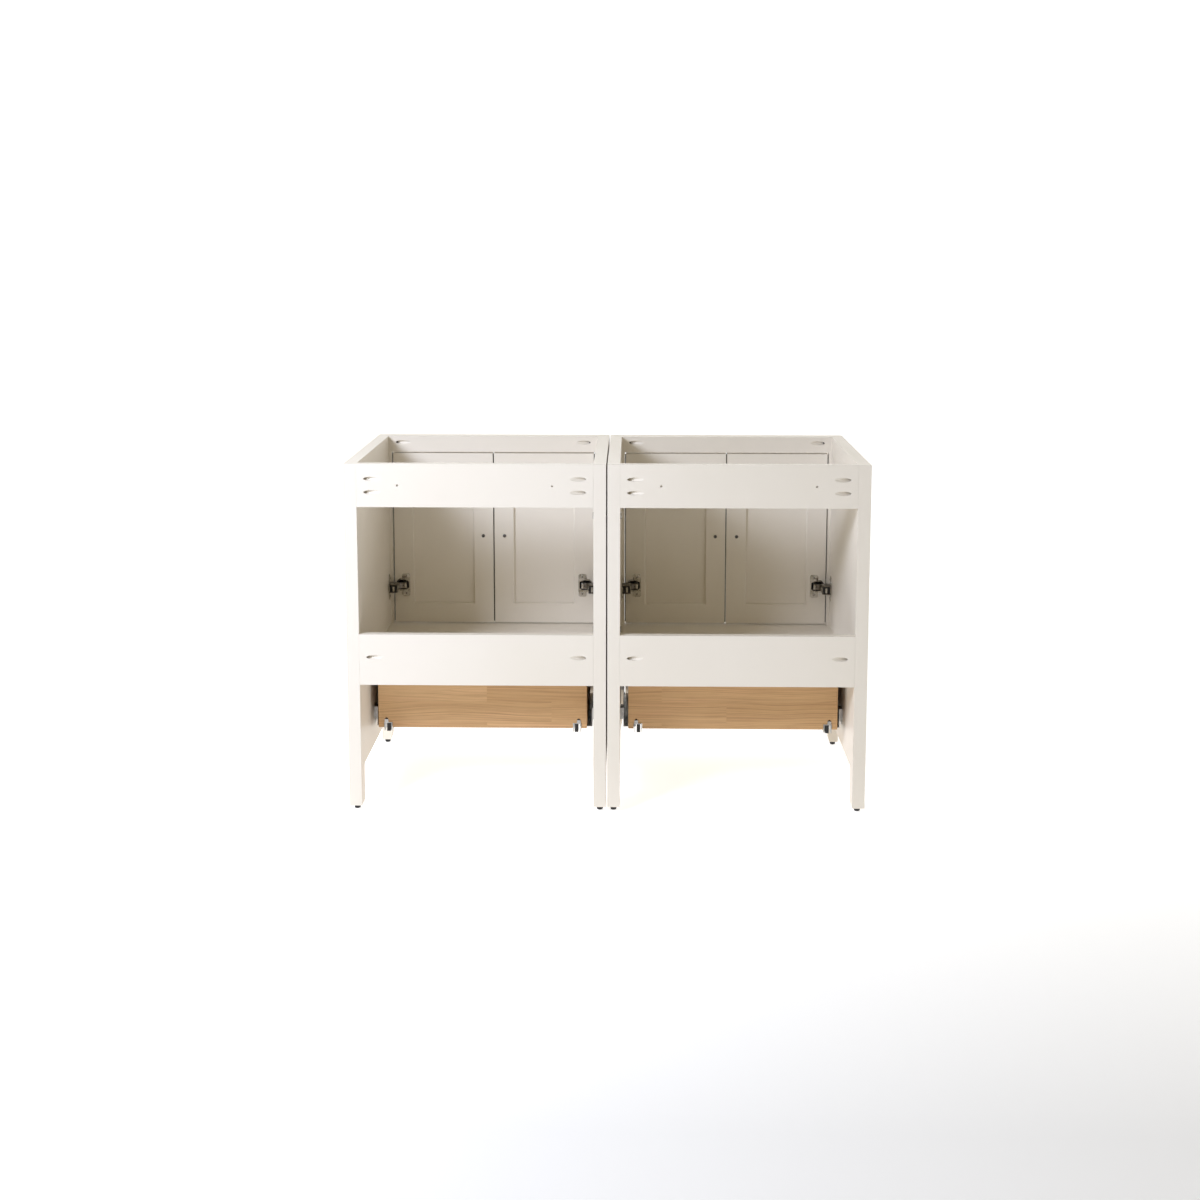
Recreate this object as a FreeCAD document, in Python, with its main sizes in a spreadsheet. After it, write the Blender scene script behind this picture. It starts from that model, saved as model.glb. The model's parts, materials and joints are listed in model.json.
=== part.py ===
"""Bathroom vanity base: two open-backed cabinets side by side.

Each cabinet has two inset doors on cup hinges, one drawer on undermount slides and
black glides under its four legs.  +X is to the right seen from the front, +Y points
to the wall, +Z is up, and the origin is on the floor at the middle of the whole base.
All lengths are millimetres.
"""
import FreeCAD, Part
import os
import re

from FreeCAD import Rotation, Vector
import Sketcher

# ----------------------------------------------------------------- driving dimensions
DIMENSIONS = {
    "overall_width": 1200.0, "case_gap": 3.0, "case_depth": 533.0, "case_height": 820.0,
    "glide_height": 12.0, "glide_radius": 7.5, "glide_round": 2.5,
    "side_thickness": 29.0, "rear_leg_depth": 45.0, "underside_height": 100.0,
    "leg_corner_radius": 6.0, "foot_round": 3.0,
    "post_width": 37.0, "post_depth": 44.0, "post_foot_width": 22.5,
    "front_rail_height": 40.5, "mid_rail_height": 22.0,
    "floor_top": 327.5, "floor_thickness": 18.0,
    "rear_rail_thickness": 19.0, "rear_top_rail_height": 100.0,
    "rear_low_rail_bottom": 303.0, "rear_low_rail_height": 119.5,
    "screw_pocket_radius": 4.75, "screw_pocket_reach": 35.5, "screw_pocket_stop": 12.0,
    "screw_pocket_slope": 15.0, "screw_pocket_pitch": 31.0, "low_pocket_rise": 6.0,
    "front_pocket_rise": 5.0, "front_pocket_reach": 30.0,
    "wall_hole_radius": 2.5, "wall_hole_inset": 122.5,
    "door_thickness": 22.0, "face_setback": 22.0, "face_gap": 3.0, "stile_width": 52.0,
    "field_thickness": 10.0, "field_tongue": 8.0, "tongue_clearance": 1.0,
    "edge_bevel": 2.5,
    "hinge_rise": 99.5, "cup_radius": 17.5, "cup_depth": 11.5, "cup_edge": 4.5,
    "cup_clearance": 0.2, "cup_wall": 1.8, "cup_rim": 1.5, "flange_height": 60.0,
    "flange_width": 21.0, "flange_shift": 7.5, "flange_thickness": 1.2,
    "flange_screw_pitch": 45.0, "flange_screw_radius": 4.0, "flange_screw_head": 1.2,
    "arm_height": 18.0, "arm_clear": 4.0, "arm_depth": 7.0,
    "arm_length": 40.0, "arm_tip": 6.0, "arm_notch": 0.5, "arm_reach": 7.0,
    "plate_height": 66.0, "plate_width": 16.0, "plate_setback": 20.0, "plate_thickness": 3.0,
    "knob_projection": 24.0, "knob_radius": 15.0, "knob_head": 10.0, "knob_round": 4.0,
    "knob_neck_radius": 5.0, "knob_base_radius": 7.5, "knob_base": 3.0, "knob_rise": 229.5,
    "knob_screw_radius": 2.0, "knob_screw_head": 2.5, "knob_screw_head_radius": 4.5,
    "knob_hole_clearance": 0.5, "drawer_knob_inset": 128.0,
    "front_border": 44.0, "front_recess": 6.0,
    "drawer_clearance": 11.25, "drawer_length": 350.0, "drawer_wall": 13.0,
    "drawer_bottom_rise": 158.0, "drawer_height": 118.0, "tray_thickness": 6.0,
    "tray_recess": 12.5, "tray_groove": 6.0,
    "runner_clearance": 1.0, "runner_width": 18.5, "runner_drop": 9.0, "sheet_steel": 1.5,
    "notch_clearance": 1.0, "hook_hole_radius": 3.25, "hook_pin_radius": 1.75,
    "hook_pin_drop": 1.4, "hook_rise": 20.5, "hook_width": 9.0, "hook_top": 1.0,
    "hook_shift": 4.0, "stop_width": 8.5, "stop_length": 22.0, "stop_edge": 3.5,
    "rail_standoff": 7.0, "rail_flange_top": 34.0, "rail_drop": 13.0, "rail_lip": 8.0,
    "rail_lip_shift": 5.25, "rail_start": 55.0, "rail_front_gap": 2.0,
    "rail_tab_length": 30.0, "rail_tab_bottom": 6.0,
    "clip_width": 28.0, "clip_length": 42.0, "clip_height": 11.0,
    "bolt_radius": 4.0, "bolt_clearance": 0.2, "bolt_head_radius": 8.0, "bolt_head": 3.0,
    "bolt_inset": 70.0, "bolt_low": 420.0, "bolt_high": 690.0,
}

# ------------------------------------------------- places worked out from the dimensions
CASE_WIDTH = "((overall_width - case_gap) / 2)"
REAR = "((case_depth - face_setback + knob_projection) / 2)"
FRONT = f"({REAR} - case_depth)"
POST_BACK = f"({FRONT} + post_depth)"
FACE = f"({FRONT} + face_setback)"
FACE_BACK = f"({FACE} + door_thickness)"
OPENING = f"({CASE_WIDTH} - 2 * post_width)"
INSIDE = f"({CASE_WIDTH} - 2 * side_thickness)"
DOOR_WIDTH = f"(({OPENING} - 3 * face_gap) / 2)"
DOOR_BOTTOM = "(floor_top + face_gap)"
DOOR_HEIGHT = f"(case_height - front_rail_height - face_gap - {DOOR_BOTTOM})"
MID_RAIL_BOTTOM = "(floor_top - mid_rail_height)"
FRONT_HEIGHT = f"({MID_RAIL_BOTTOM} - face_gap - underside_height)"
DRAWER_WIDTH = f"({OPENING} - 2 * drawer_clearance)"
DRAWER_BACK = f"({FACE_BACK} + drawer_length)"
RUNNER_INSET = "(post_width + drawer_clearance + drawer_wall + runner_clearance + runner_width / 2)"
RUNNER_BOTTOM = "(drawer_bottom_rise - runner_drop)"
TRAY_UNDERSIDE = "(drawer_bottom_rise + tray_recess)"
CUP_CENTRE = "(cup_edge + cup_radius)"
DOOR_EDGE = "(post_width + face_gap)"

CASES = {"left": f"(-({CASE_WIDTH} + case_gap) / 2)", "right": f"(({CASE_WIDTH} + case_gap) / 2)"}
HANDS = {"left": 1, "right": -1}            # which way is inwards from each side, along X

document = FreeCAD.newDocument("vanity_base")
sheet = document.addObject("Spreadsheet::Sheet", "dims")
ALIAS = re.compile(r"\b(" + "|".join(DIMENSIONS) + r")\b")
SUBPARTS = {}


def fill_sheet():
    """Write each driving dimension as a named cell."""
    for row, (name, size) in enumerate(DIMENSIONS.items(), start=1):
        sheet.set(f"A{row}", name)
        sheet.set(f"B{row}", str(size))
        sheet.setAlias(f"B{row}", name)
    document.recompute()


def bind(item, prop, text):
    """Bind a property to an expression of the named dimensions."""
    item.setExpression(prop, ALIAS.sub(r"dims.\1", str(text)))


def place(item, x, y, z, rotation=None):
    """Put an object at a point given by three expressions."""
    if rotation is not None:
        item.Placement = FreeCAD.Placement(Vector(), rotation)
    for axis, text in zip("xyz", (x, y, z)):
        bind(item, f"Placement.Base.{axis}", text)
    return item


def keep(item, name):
    """Name an object as a sub-part of its own."""
    item.Label = name
    SUBPARTS[name] = item
    return item


def block(name, size, centre):
    """Make a box of three sizes around a centre."""
    item = document.addObject("Part::Box", name)
    for prop, text in zip(("Length", "Width", "Height"), size):
        bind(item, prop, text)
    return place(item, *(f"{middle} - ({length}) / 2" for middle, length in zip(centre, size)))


def rod(name, radius, length, start, towards):
    """Make a cylinder from a start point towards an axis direction."""
    item = document.addObject("Part::Cylinder", name)
    bind(item, "Radius", radius)
    bind(item, "Height", length)
    return place(item, *start, rotation=Rotation(Vector(0, 0, 1), Vector(*towards)))


def joined(name, pieces):
    """Fuse several solids into one object."""
    if len(pieces) == 1:
        return pieces[0]
    item = document.addObject("Part::MultiFuse", name)
    item.Shapes = pieces
    return item


def cut(name, base, tools):
    """Cut one or more tools out of a base."""
    item = document.addObject("Part::Cut", name)
    item.Base = base
    item.Tool = joined(name + "_tools", tools)
    return item


def dressed(kind, name, base, size, wanted):
    """Fillet or chamfer the edges whose two ends both satisfy a test."""
    document.recompute()
    sheet_size = DIMENSIONS[size]
    picked = []
    for number, edge in enumerate(base.Shape.Edges, start=1):
        if len(edge.Vertexes) > 0 and wanted(edge):
            picked.append((number, sheet_size, sheet_size))
    item = document.addObject(f"Part::{kind}", name)
    item.Base = base
    item.Edges = picked
    return item


def origin_plane(body, role):
    """Find one of a body's own origin planes."""
    for feature in body.Origin.OriginFeatures:
        if feature.Role == role:
            return feature
    raise LookupError(role)


def outline(body, name, role, points):
    """Sketch a closed polygon whose corners are expressions."""
    sketch = body.newObject("Sketcher::SketchObject", name)
    sketch.AttachmentSupport = [(origin_plane(body, role), "")]
    sketch.MapMode = "FlatFace"
    count = len(points)
    starts = [Rotation(Vector(0, 0, 1), 360.0 * turn / count).multVec(Vector(100, 0, 0))
              for turn in range(count)]
    for index in range(count):
        sketch.addGeometry(Part.LineSegment(starts[index], starts[(index + 1) % count]), False)
    for index in range(count):
        sketch.addConstraint(Sketcher.Constraint("Coincident", index, 2, (index + 1) % count, 1))
    for index, corner in enumerate(points):
        for kind, text, now in zip(("DistanceX", "DistanceY"), corner, starts[index]):
            number = sketch.addConstraint(Sketcher.Constraint(kind, -1, 1, index, 1, now))
            bind(sketch, f"Constraints[{number}]", text)
    return sketch


def profile(name, role, points, length):
    """Pad a polygon into a body; its length runs along the plane's normal."""
    body = document.addObject("PartDesign::Body", name)
    sketch = outline(body, name + "_outline", role, points)
    pad = body.newObject("PartDesign::Pad", name + "_pad")
    pad.Profile = sketch
    bind(pad, "Length", length)
    return body


def body_fillet(body, name, size, wanted):
    """Round edges of a body that satisfy a test."""
    document.recompute()
    base = body.Tip
    names = [f"Edge{number}" for number, edge in enumerate(base.Shape.Edges, start=1)
             if wanted(edge)]
    fillet = body.newObject("PartDesign::Fillet", name)
    fillet.Base = (base, names)
    bind(fillet, "Radius", size)
    body.Tip = fillet


def level(edge, height):
    """Tell whether an edge lies flat at a height."""
    box = edge.BoundBox
    return abs(box.ZMin - height) < 0.01 and abs(box.ZMax - height) < 0.01


# --------------------------------------------------------------------------- the carcass
def side_panel(case, centre, hand):
    """Side panel whose rear edge runs down as a leg."""
    leg_front = f"({REAR} - rear_leg_depth)"
    points = [(REAR, "glide_height"), (REAR, "case_height"), (POST_BACK, "case_height"),
              (POST_BACK, "underside_height"), (leg_front, "underside_height"),
              (leg_front, "glide_height")]
    name = f"{case}_side_{hand}"
    body = profile(name + "_body", "YZ_Plane", points, "side_thickness")
    low = DIMENSIONS["underside_height"]
    foot = DIMENSIONS["glide_height"]

    def inner_corner(edge):
        box = edge.BoundBox
        return level(edge, low) and box.XLength > 1 and box.YLength < 0.1 and box.YMin > 0

    body_fillet(body, name + "_leg_corner", "leg_corner_radius", inner_corner)
    body_fillet(body, name + "_foot_edges", "foot_round", lambda edge: level(edge, foot))
    outer = f"{centre} - {HANDS[hand]} * {CASE_WIDTH} / 2"
    shift = "" if hand == "left" else " - side_thickness"
    place(body, outer + shift, "0", "0")
    if case == hand:
        keep(body, name)
        return
    holes = [rod(f"{name}_bolt_hole_{index}", "bolt_radius + bolt_clearance", "2 * side_thickness",
                 (f"{outer} - {HANDS[hand]} * side_thickness / 2", y, z), (HANDS[hand], 0, 0))
             for index, (y, z) in enumerate(bolt_places())]
    keep(cut(name, body, holes), name)


def bolt_places():
    """Places of the bolts that join the two cabinets, as (y, z)."""
    depths = (f"{POST_BACK} + bolt_inset", f"{REAR} - bolt_inset")
    return [(y, z) for y in depths for z in ("bolt_low", "bolt_high")]


def front_post(case, centre, hand):
    """Front corner post, tapered on its inner side below the case."""
    inward = HANDS[hand]
    points = [("0", "glide_height"), (f"{inward} * post_foot_width", "glide_height"),
              (f"{inward} * post_width", "underside_height"),
              (f"{inward} * post_width", "case_height"), ("0", "case_height")]
    name = f"{case}_post_{hand}"
    body = profile(name + "_body", "XZ_Plane", points, "post_depth")
    foot = DIMENSIONS["glide_height"]
    body_fillet(body, name + "_foot_edges", "foot_round", lambda edge: level(edge, foot))
    place(body, f"{centre} - {inward} * {CASE_WIDTH} / 2", POST_BACK, "0")
    keep(body, name)


def screw_pockets(name, centre, length, face, rows, reach="screw_pocket_reach"):
    """Slanted screw pockets at both ends of a rail's rear face."""
    pockets = []
    slope = DIMENSIONS["screw_pocket_slope"]
    for hand, inward in HANDS.items():
        end = f"({centre} - {inward} * {length} / 2)"
        aim = Rotation(Vector(0, 0, 1), inward * slope).multVec(Vector(inward, 0, 0))
        start_x = f"{end} + {inward} * screw_pocket_stop"
        start_y = f"{face} - ({reach} - screw_pocket_stop) * tan(screw_pocket_slope * 1 deg)"
        for index, height in enumerate(rows):
            pockets.append(rod(f"{name}_pocket_{hand}_{index}", "screw_pocket_radius",
                               f"2 * {reach}", (start_x, start_y, height), aim))
    return pockets


def rails(case, centre):
    """Front rails between the posts and rear rails between the side panels."""
    depth_centre = f"({FRONT} + post_depth / 2)"
    top_height = "(case_height - front_rail_height / 2)"
    name = f"{case}_front_top_rail"
    rail = block(name + "_bar", (OPENING, "post_depth", "front_rail_height"),
                 (centre, depth_centre, top_height))
    pockets = screw_pockets(name, centre, OPENING, POST_BACK, [f"{top_height} + front_pocket_rise"],
                            "front_pocket_reach")
    keep(cut(name, rail, pockets), name)

    name = f"{case}_mid_rail"
    keep(block(name, (OPENING, "post_depth", "mid_rail_height"),
               (centre, depth_centre, f"({MID_RAIL_BOTTOM} + mid_rail_height / 2)")), name)

    back_centre = f"({REAR} - rear_rail_thickness / 2)"
    middle = "(case_height - rear_top_rail_height / 2)"
    name = f"{case}_rear_top_rail"
    rail = block(name + "_bar", (INSIDE, "rear_rail_thickness", "rear_top_rail_height"),
                 (centre, back_centre, middle))
    rows = [f"{middle} {sign} screw_pocket_pitch / 2" for sign in "+-"]
    tools = screw_pockets(name, centre, INSIDE, REAR, rows)
    for hand, inward in HANDS.items():
        start_x = f"{centre} - {inward} * ({CASE_WIDTH} / 2 - wall_hole_inset)"
        tools.append(rod(f"{name}_wall_hole_{hand}", "wall_hole_radius", "2 * rear_rail_thickness",
                         (start_x, f"{REAR} - 1.5 * rear_rail_thickness", middle), (0, 1, 0)))
    keep(cut(name, rail, tools), name)

    middle = "(rear_low_rail_bottom + rear_low_rail_height / 2)"
    name = f"{case}_rear_low_rail"
    rail = block(name + "_bar", (INSIDE, "rear_rail_thickness", "rear_low_rail_height"),
                 (centre, back_centre, middle))
    row = f"{middle} + low_pocket_rise"
    keep(cut(name, rail, screw_pockets(name, centre, INSIDE, REAR, [row])), name)


def cabinet_floor(case, centre):
    """Floor panel between the sides, from the posts to the rear lower rail."""
    length = f"({REAR} - rear_rail_thickness - {POST_BACK})"
    keep(block(f"{case}_floor", (INSIDE, length, "floor_thickness"),
               (centre, f"({POST_BACK} + {length} / 2)", "(floor_top - floor_thickness / 2)")),
         f"{case}_floor")


def glides(case, centre):
    """Four black glides under the legs, in one sub-part."""
    pads = []
    for hand, inward in HANDS.items():
        spots = {"rear": ("side_thickness / 2", f"{REAR} - rear_leg_depth / 2"),
                 "front": ("post_foot_width / 2", f"{FRONT} + post_depth / 2")}
        for spot, (inset, y) in spots.items():
            x = f"{centre} - {inward} * ({CASE_WIDTH} / 2 - {inset})"
            pads.append(rod(f"{case}_glide_{hand}_{spot}", "glide_radius", "glide_height",
                            (x, y, "0"), (0, 0, 1)))
    base = joined(f"{case}_glide_set", pads)
    keep(dressed("Fillet", f"{case}_glides", base, "glide_round", lambda edge: level(edge, 0.0)),
         f"{case}_glides")


# ----------------------------------------------------------------------------- the doors
def door(case, centre, hand):
    """One inset door: frame, field panel, hinge cups and knob."""
    inward = HANDS[hand]
    name = f"{case}_door_{hand}"
    edge_x = f"({centre} - {inward} * ({CASE_WIDTH} / 2 - {DOOR_EDGE}))"
    middle = (f"({edge_x} + {inward} * {DOOR_WIDTH} / 2)", f"({FACE} + door_thickness / 2)",
              f"({DOOR_BOTTOM} + {DOOR_HEIGHT} / 2)")
    clear = [f"({DOOR_WIDTH} - 2 * stile_width)", f"({DOOR_HEIGHT} - 2 * stile_width)"]

    blank = block(name + "_blank", (DOOR_WIDTH, "door_thickness", DOOR_HEIGHT), middle)
    window = block(name + "_window", (clear[0], "2 * door_thickness", clear[1]), middle)
    frame = cut(name + "_open_frame", blank, [window])
    frame = dressed("Chamfer", name + "_bevelled_frame", frame, "edge_bevel", frame_edge(name))
    groove = block(name + "_groove", (f"{clear[0]} + 2 * field_tongue", "field_thickness",
                                      f"{clear[1]} + 2 * field_tongue"), middle)
    cup_x = f"({edge_x} + {inward} * {CUP_CENTRE})"
    heights = hinge_heights()
    bores = [rod(f"{name}_bore_{index}", "cup_radius", "2 * cup_depth",
                 (cup_x, f"{FACE_BACK} - cup_depth", z), (0, 1, 0))
             for index, z in enumerate(heights)]
    knob_x = f"({edge_x} + {inward} * ({DOOR_WIDTH} - stile_width / 2))"
    knob_z = f"({DOOR_BOTTOM} + knob_rise)"
    hole = rod(name + "_knob_hole", "knob_screw_radius + knob_hole_clearance",
               "2 * door_thickness", (knob_x, f"{FACE} - door_thickness / 2", knob_z), (0, 1, 0))
    keep(cut(name + "_frame", frame, [groove, hole] + bores), name + "_frame")

    tongue = "2 * (field_tongue - tongue_clearance)"
    keep(block(name + "_field", (f"{clear[0]} + {tongue}", "field_thickness",
                                 f"{clear[1]} + {tongue}"), middle), name + "_field")
    cups = [hinge_cup(f"{name}_cup_{index}", cup_x, z, inward) for index, z in enumerate(heights)]
    keep(joined(name + "_cups", cups), name + "_cups")
    keep(knob(name + "_knob", (knob_x, FACE, knob_z), "door_thickness"), name + "_knob")


def frame_edge(name):
    """Make the test for the window's edges on a door's two faces."""
    def wanted(edge):
        whole = document.getObject(name + "_blank").Shape.BoundBox
        box = edge.BoundBox
        flat = box.YLength < 0.01
        inner = box.XMin > whole.XMin + 1 and box.XMax < whole.XMax - 1
        return flat and inner and box.ZMin > whole.ZMin + 1 and box.ZMax < whole.ZMax - 1
    return wanted


def hinge_heights():
    """Heights of a door's lower and upper hinge."""
    return [f"({DOOR_BOTTOM} + hinge_rise)", f"({DOOR_BOTTOM} + {DOOR_HEIGHT} - hinge_rise)"]


def hinge_cup(name, x, z, inward):
    """Pressed hinge cup in its bore, with a screwed flange on the door's back."""
    wing_x = f"({x} + {inward} * flange_shift)"
    shell = rod(name + "_shell", "cup_radius - cup_clearance", "cup_depth - cup_clearance",
                (x, f"{FACE_BACK} - cup_depth + cup_clearance", z), (0, 1, 0))
    rim = rod(name + "_rim", "cup_radius + cup_rim", "flange_thickness", (x, FACE_BACK, z),
              (0, 1, 0))
    wing = block(name + "_wing", ("flange_width", "flange_thickness", "flange_height"),
                 (wing_x, f"({FACE_BACK} + flange_thickness / 2)", z))
    heads = [rod(f"{name}_screw_{label}", "flange_screw_radius",
                 "flange_thickness + flange_screw_head",
                 (wing_x, FACE_BACK, f"{z} {sign} flange_screw_pitch / 2"), (0, 1, 0))
             for label, sign in (("upper", "+"), ("lower", "-"))]
    hollow = rod(name + "_hollow", "cup_radius - cup_clearance - cup_wall", "2 * cup_depth",
                 (x, f"{FACE_BACK} - cup_depth + cup_clearance + cup_wall", z), (0, 1, 0))
    return cut(name, joined(name + "_solid", [shell, rim, wing] + heads), [hollow])


def knob(name, seat, board):
    """Round knob on its seat, with the screw that holds it through the board behind."""
    x, y, z = seat
    base = rod(name + "_base", "knob_base_radius", "knob_base", seat, (0, -1, 0))
    neck = rod(name + "_neck", "knob_neck_radius", "knob_projection - knob_head / 2",
               seat, (0, -1, 0))
    head = rod(name + "_head", "knob_radius", "knob_head",
               (x, f"{y} - knob_projection + knob_head", z), (0, -1, 0))
    head = dressed("Fillet", name + "_round_head", head, "knob_round",
                   lambda edge: edge.BoundBox.YLength < 0.01)
    screw = rod(name + "_screw", "knob_screw_radius", board, seat, (0, 1, 0))
    screw_head = rod(name + "_screw_head", "knob_screw_head_radius", "knob_screw_head",
                     (x, f"{y} + {board}", z), (0, 1, 0))
    return joined(name, [base, neck, head, screw, screw_head])


def hinge_arms(case, centre):
    """Hinge arms on their wing plates, four to a cabinet, fixed to the side panels."""
    arms = []
    for hand, inward in HANDS.items():
        edge_x = f"{centre} - {inward} * ({CASE_WIDTH} / 2 - {DOOR_EDGE})"
        panel = f"(side_thickness - {DOOR_EDGE})"
        back = "(door_thickness + arm_clear)"
        tip = f"{CUP_CENTRE} - arm_notch"
        corners = [(f"{panel} + plate_thickness", back), (tip, back),
                   (tip, "door_thickness - arm_reach"),
                   (f"{CUP_CENTRE} + arm_tip", "door_thickness - arm_reach"),
                   (f"{CUP_CENTRE} + arm_tip", f"{back} + arm_depth"),
                   ("arm_tip", f"{back} + arm_depth"), ("0", f"{back} + arm_length"),
                   (f"{panel} + plate_thickness", f"{back} + arm_length")]
        points = [(f"{inward} * ({across})", along) for across, along in corners]
        for index, z in enumerate(hinge_heights()):
            name = f"{case}_arm_{hand}_{index}"
            arm = profile(name, "XY_Plane", points, "arm_height")
            place(arm, edge_x, FACE, f"{z} - arm_height / 2")
            plate_x = f"({edge_x} + {inward} * ({panel} + plate_thickness / 2))"
            plate = block(name + "_plate", ("plate_thickness", "plate_width", "plate_height"),
                          (plate_x, f"({FACE} + {back} + plate_setback)", z))
            foot = block(name + "_foot", ("plate_thickness", "arm_length", "arm_height"),
                         (plate_x, f"({FACE} + {back} + arm_length / 2)", z))
            arms.append(joined(name + "_set", [arm, plate, foot]))
    keep(joined(f"{case}_hinge_arms", arms), f"{case}_hinge_arms")


# ---------------------------------------------------------------------------- the drawer
def drawer_front(case, centre):
    """Inset drawer front with a recessed field and its two knobs."""
    name = f"{case}_drawer_front"
    width = f"({OPENING} - 2 * face_gap)"
    middle = (centre, f"({FACE} + door_thickness / 2)", f"(underside_height + {FRONT_HEIGHT} / 2)")
    blank = block(name + "_blank", (width, "door_thickness", FRONT_HEIGHT), middle)
    field = block(name + "_recess", (f"{width} - 2 * front_border", "2 * front_recess",
                                     f"{FRONT_HEIGHT} - 2 * front_border"),
                  (centre, FACE, middle[2]))
    spots = [(hand, f"({centre} - {inward} * drawer_knob_inset)") for hand, inward in HANDS.items()]
    holes = [rod(f"{name}_hole_{hand}", "knob_screw_radius + knob_hole_clearance",
                 "3 * door_thickness", (x, f"{FACE} - door_thickness", middle[2]), (0, 1, 0))
             for hand, x in spots]
    board = cut(name + "_panel", blank, [field])
    board = dressed("Chamfer", name + "_bevelled", board, "edge_bevel", recess_edge(name))
    keep(cut(name, board, holes), name)
    seat_y = f"({FACE} + front_recess)"
    boards = "(door_thickness - front_recess + drawer_wall)"
    knobs = [knob(f"{case}_drawer_knob_{hand}", (x, seat_y, middle[2]), boards)
             for hand, x in spots]
    keep(joined(f"{case}_drawer_knobs", knobs), f"{case}_drawer_knobs")


def recess_edge(name):
    """Make the test for the recess's edges on a drawer front."""
    def wanted(edge):
        whole = document.getObject(name + "_blank").Shape.BoundBox
        box = edge.BoundBox
        on_face = abs(box.YMin - whole.YMin) < 0.01 and box.YLength < 0.01
        return on_face and box.XMin > whole.XMin + 1 and box.XMax < whole.XMax - 1
    return wanted


def drawer_box(case, centre):
    """Drawer box of four walls and a bottom held in their grooves."""
    name = f"{case}_drawer"
    z = "(drawer_bottom_rise + drawer_height / 2)"
    front_y = f"({FACE_BACK} + drawer_wall / 2)"
    back_y = f"({DRAWER_BACK} - drawer_wall / 2)"
    side_length = "(drawer_length - 2 * drawer_wall)"
    middle_y = f"({FACE_BACK} + drawer_length / 2)"
    tray = block(name + "_groove_tool",
                 (f"{DRAWER_WIDTH} - 2 * drawer_wall + 2 * tray_groove",
                  f"{side_length} + 2 * tray_groove", "tray_thickness"),
                 (centre, middle_y, f"({TRAY_UNDERSIDE} + tray_thickness / 2)"))

    def grooved(label, board, tools=()):
        keep(cut(f"{name}_{label}", board, [tray] + list(tools)), f"{name}_{label}")

    for hand, inward in HANDS.items():
        x = f"({centre} - {inward} * ({DRAWER_WIDTH} / 2 - drawer_wall / 2))"
        grooved(f"side_{hand}", block(f"{name}_side_{hand}_board",
                                      ("drawer_wall", side_length, "drawer_height"),
                                      (x, middle_y, z)))
    wide = (DRAWER_WIDTH, "drawer_wall", "drawer_height")
    knob_z = f"(underside_height + {FRONT_HEIGHT} / 2)"
    holes = [rod(f"{name}_knob_hole_{hand}", "knob_screw_radius + knob_hole_clearance",
                 "2 * drawer_wall", (f"{centre} - {inward} * drawer_knob_inset",
                                     f"{FACE_BACK} - drawer_wall / 2", knob_z), (0, 1, 0))
             for hand, inward in HANDS.items()]
    grooved("subfront", block(name + "_subfront_board", wide, (centre, front_y, z)), holes)

    tools = []
    for hand, inward in HANDS.items():
        x = f"({centre} - {inward} * ({CASE_WIDTH} / 2 - {RUNNER_INSET}))"
        tools.append(block(f"{name}_notch_{hand}",
                           ("runner_width + 2 * notch_clearance", "2 * drawer_wall",
                            "2 * tray_recess"), (x, back_y, "drawer_bottom_rise")))
        tools.append(rod(f"{name}_hook_hole_{hand}", "hook_hole_radius", "2 * drawer_wall",
                         (f"({x} - {inward} * hook_shift)", f"{DRAWER_BACK} - 1.5 * drawer_wall",
                          "drawer_bottom_rise + hook_rise"), (0, 1, 0)))
    grooved("back", block(name + "_back_board", wide, (centre, back_y, z)), tools)

    keep(block(name + "_bottom",
               (f"{DRAWER_WIDTH} - 2 * drawer_wall + 2 * tray_groove - 2 * tongue_clearance",
                f"{side_length} + 2 * tray_groove - 2 * tongue_clearance", "tray_thickness"),
               (centre, middle_y, f"({TRAY_UNDERSIDE} + tray_thickness / 2)")), name + "_bottom")


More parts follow.
